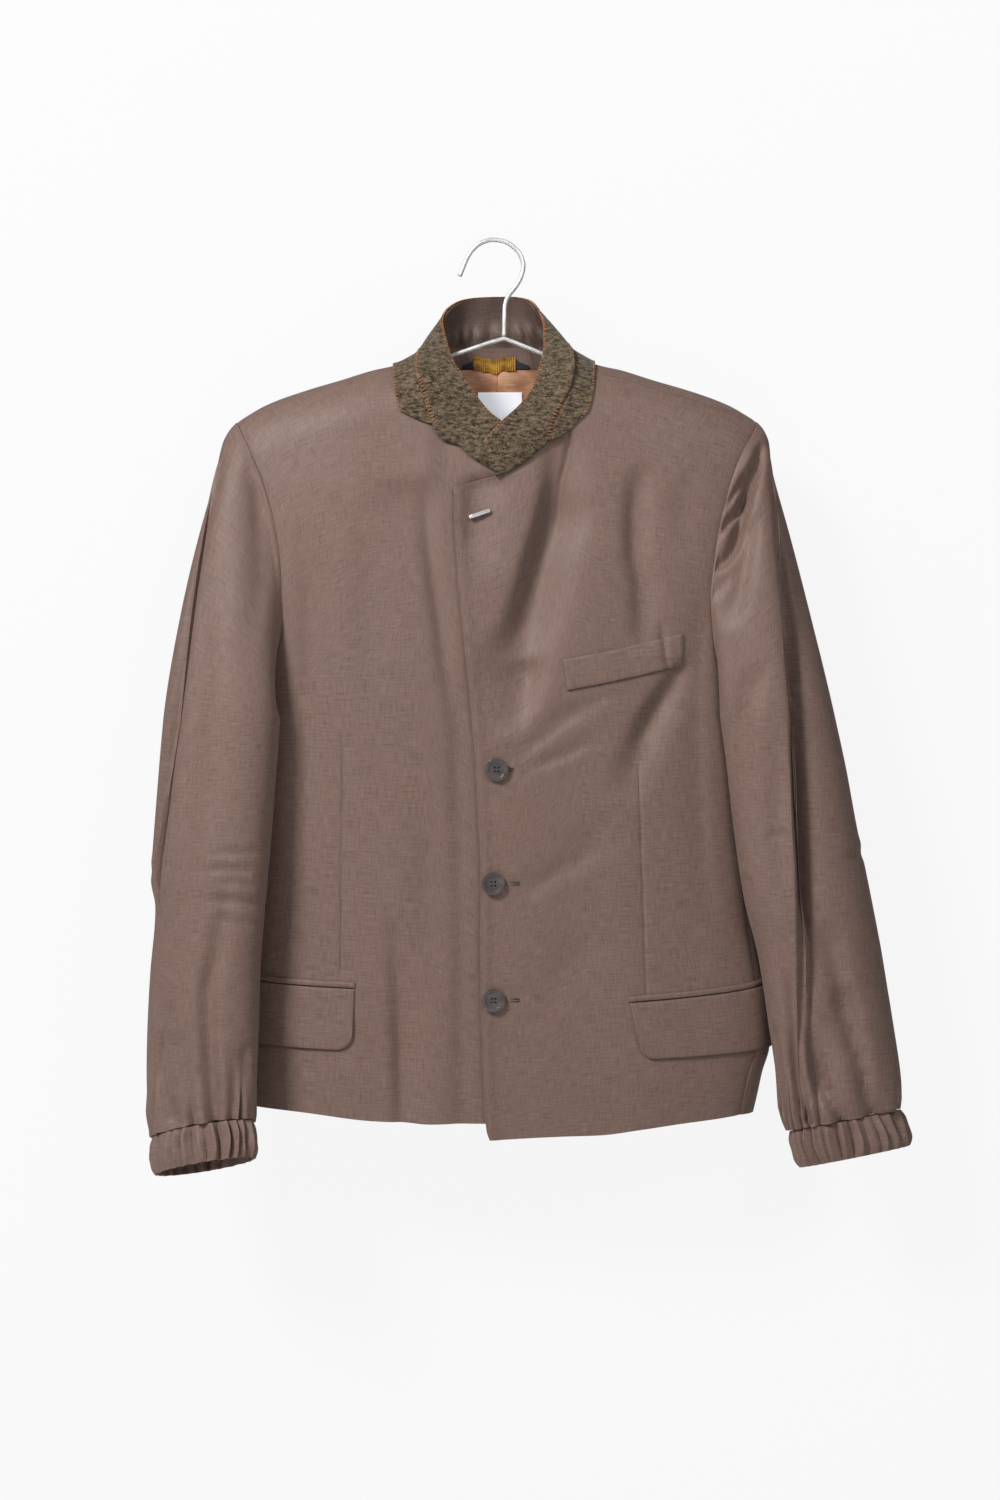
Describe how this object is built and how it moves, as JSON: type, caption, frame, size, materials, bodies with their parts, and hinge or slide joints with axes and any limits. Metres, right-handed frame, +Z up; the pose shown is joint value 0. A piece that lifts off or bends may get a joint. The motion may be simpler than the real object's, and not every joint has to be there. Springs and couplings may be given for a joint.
{
  "type": "jacket",
  "caption": "Cropped tailored jacket with a standing felt collar, jetted flap pockets and gathered cuffs, hanging on a wire hanger.",
  "frame": {"origin": "inside top of the hanger's hook, where a peg or rail carries it", "axes": "+Z up, +X towards the wearer's left (right in the picture), the front of the jacket faces -Y"},
  "size_m": [0.6748, 0.1472, 0.8326],
  "materials": {
    "worsted_cloth": "plain woven worsted, soft sheen",
    "collar_felt": "mottled wool felt with orange edge stitching",
    "lining": "smooth copper twill lining",
    "loop_ribbon": "ribbed mustard ribbon",
    "navy_tape": "woven navy tape",
    "label_white": "white satin weave, bare",
    "button_horn": "polished horn look",
    "polished_steel": "polished wire"
  },
  "bodies": {
    "root": {"front_left": "worsted_cloth", "front_right": "worsted_cloth", "side_left": "worsted_cloth", "side_right": "worsted_cloth", "back": "worsted_cloth", "top_sleeve_left": "worsted_cloth", "top_sleeve_right": "worsted_cloth", "under_sleeve_left": "worsted_cloth", "under_sleeve_right": "worsted_cloth", "cuff_left": "worsted_cloth", "cuff_right": "worsted_cloth", "collar_stand": "collar_felt", "collar_neck": "collar_felt", "collar_facing": "worsted_cloth", "neck_facing": "worsted_cloth", "lining_back": "lining", "hanging_loop": "loop_ribbon", "loop_end_left": "navy_tape", "loop_end_right": "navy_tape", "neck_label": "label_white", "chest_welt": "worsted_cloth", "jet_left": "worsted_cloth", "jet_right": "worsted_cloth", "flap_left": "worsted_cloth", "flap_right": "worsted_cloth", "button_1": "button_horn", "button_2": "button_horn", "button_3": "button_horn", "collar_bar": "polished_steel", "hanger_hook": "polished_steel", "hanger_arms": "polished_steel"}
  },
  "joints": []
}
